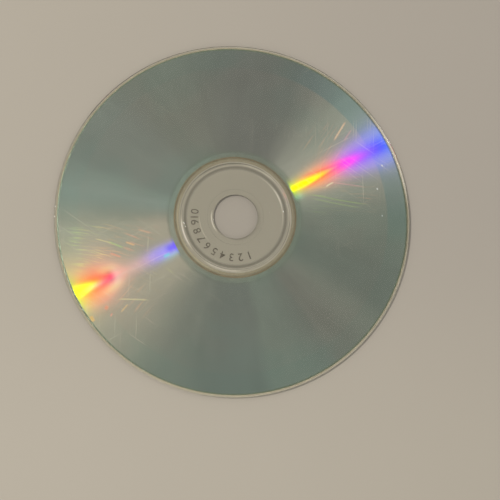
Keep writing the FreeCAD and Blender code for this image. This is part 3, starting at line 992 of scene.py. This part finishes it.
# Metal layer.
# The real piece is silver sputtered on in a vacuum, a little wider than the dye on both sides.
# Its two edges show from the read side, and its whole back shows through the lacquer.
# On the read side its face is the painted room reflection and painted streak.
METAL_PROFILE = (
    (20.34, 0.0295, 0.002), (59.16, 0.0295, 0.002), (59.16, 0.0505, 0.002), (58.70, 0.0505, 0.002),
    (58.70, 0.040, 0.002), (22.35, 0.040, 0.002), (22.35, 0.0505, 0.002), (20.34, 0.0505, 0.002),
)
SILVER = (206, 206, 204)
SILVER_DULLED = (190, 191, 190)
SILVER_ROUGHNESS = 0.24
SILVER_SMEARS = 0.08
READ_SIDE_ABOVE = 0.045
STREAKED_FROM = (21.0, 21.9)  # radii over which the bare metal begins to mirror the right streak
# Painted shade along the metal's inner edge, in gold.
GOLD_EDGE_SHADE = (122, 106, 78)
GOLD_INSIDE = (20.95, 20.45)
EDGE_GREEN = (96, 104, 86)
GREEN_OUTSIDE = (58.65, 58.75)

silver_look, tree, shader, output = new_material("sputtered silver")
here = tree.nodes.new("ShaderNodeTexCoord").outputs["Object"]
where = placed(tree, polar, {"Vector": here})
streaks = placed(tree, track, {"Vector": here})
# Where the right ray's painted streak lies on the bare metal.
painted_light_mask = product(tree, between(tree, where["Radius"], *STREAKED_FROM),
              between(tree, streaks["Along Ray"], -1.0, 1.0))
face = placed(tree, painted_reflection, {"Vector": here})["Color"]
face = blended(tree, product(tree, painted_light_mask, streaks["Clearing"]), face, (0.0, 0.0, 0.0, 1.0))
painted_streak = blended(tree, painted_light_mask, (0.0, 0.0, 0.0, 1.0), streaks["Color"])
face = blended(tree, 1.0, face, painted_streak, "ADD")
# Painted shade along the metal's inner edge.
face = blended(tree, between(tree, where["Radius"], *GOLD_INSIDE), face, as_metal(GOLD_EDGE_SHADE))
face = blended(tree, between(tree, where["Radius"], *GREEN_OUTSIDE), face, as_metal(EDGE_GREEN))
axes = tree.nodes.new("ShaderNodeSeparateXYZ")
tree.links.new(here, axes.inputs[0])
from_read_side = calculate(tree, "GREATER_THAN", axes.outputs["Z"], READ_SIDE_ABOVE * MM)
from_back = calculate(tree, "SUBTRACT", 1.0, from_read_side)
marks = placed(tree, handling, {"Vector": here})
back = blended(tree, marks["Smears"], linear(SILVER), linear(SILVER_DULLED))
tree.links.new(blended(tree, from_read_side, back, face), shader.inputs["Base Color"])
# The painted streak glows on the read side.
painted_streak_glow = blended(tree, from_read_side, (0.0, 0.0, 0.0, 1.0), painted_streak)
tree.links.new(painted_streak_glow, shader.inputs["Emission Color"])
shader.inputs["Emission Strength"].default_value = STREAK_GLOW
shader.inputs["Metallic"].default_value = 1.0
smears = product(tree, marks["Smears"], from_back)
tree.links.new(calculate(tree, "MULTIPLY_ADD", smears, SILVER_SMEARS, SILVER_ROUGHNESS),
               shader.inputs["Roughness"])

metal = turned_ring("metal_layer", rounded_profile(METAL_PROFILE, THIN_HOLD), DISC_STEPS)
metal.data.materials.append(silver_look)
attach(metal, "root")
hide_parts("silver_reflector")


# Lacquer.
# The real piece is a clear lacquer spun over the metal and hardened by light, a hair thick.
# It wraps both edges of the metal and is the whole label side, here left bare.
LACQUER_PROFILE = (
    (19.05, 0.0, 0.010), (59.65, 0.0, 0.015), (59.65, 0.0485, 0.005), (59.15, 0.0485, 0.002),
    (59.15, 0.030, 0.002), (20.35, 0.030, 0.002), (20.35, 0.0485, 0.002), (19.05, 0.0485, 0.005),
)
LACQUER_TINT = (232, 228, 214)
LACQUER_IOR = 1.5
LACQUER_ROUGHNESS = 0.04
LACQUER_HAIRLINES = 0.55
LACQUER_DULLING = 0.15

lacquer_look, tree, shader, output = new_material("clear lacquer")
shader.inputs["Base Color"].default_value = linear(LACQUER_TINT)
shader.inputs["Transmission Weight"].default_value = 1.0
shader.inputs["IOR"].default_value = LACQUER_IOR
here = tree.nodes.new("ShaderNodeTexCoord").outputs["Object"]
marks = placed(tree, handling, {"Vector": here, "Coverage": LACQUER_HAIRLINES})
dulled = calculate(tree, "MULTIPLY_ADD", marks["Hairlines"], LACQUER_DULLING, LACQUER_ROUGHNESS)
tree.links.new(dulled, shader.inputs["Roughness"])
let_light_through(tree, shader, output)

lacquer = turned_ring("lacquer", rounded_profile(LACQUER_PROFILE, THIN_HOLD), DISC_STEPS)
lacquer.data.materials.append(lacquer_look)
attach(lacquer, "root")
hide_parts("lacquer_coat")
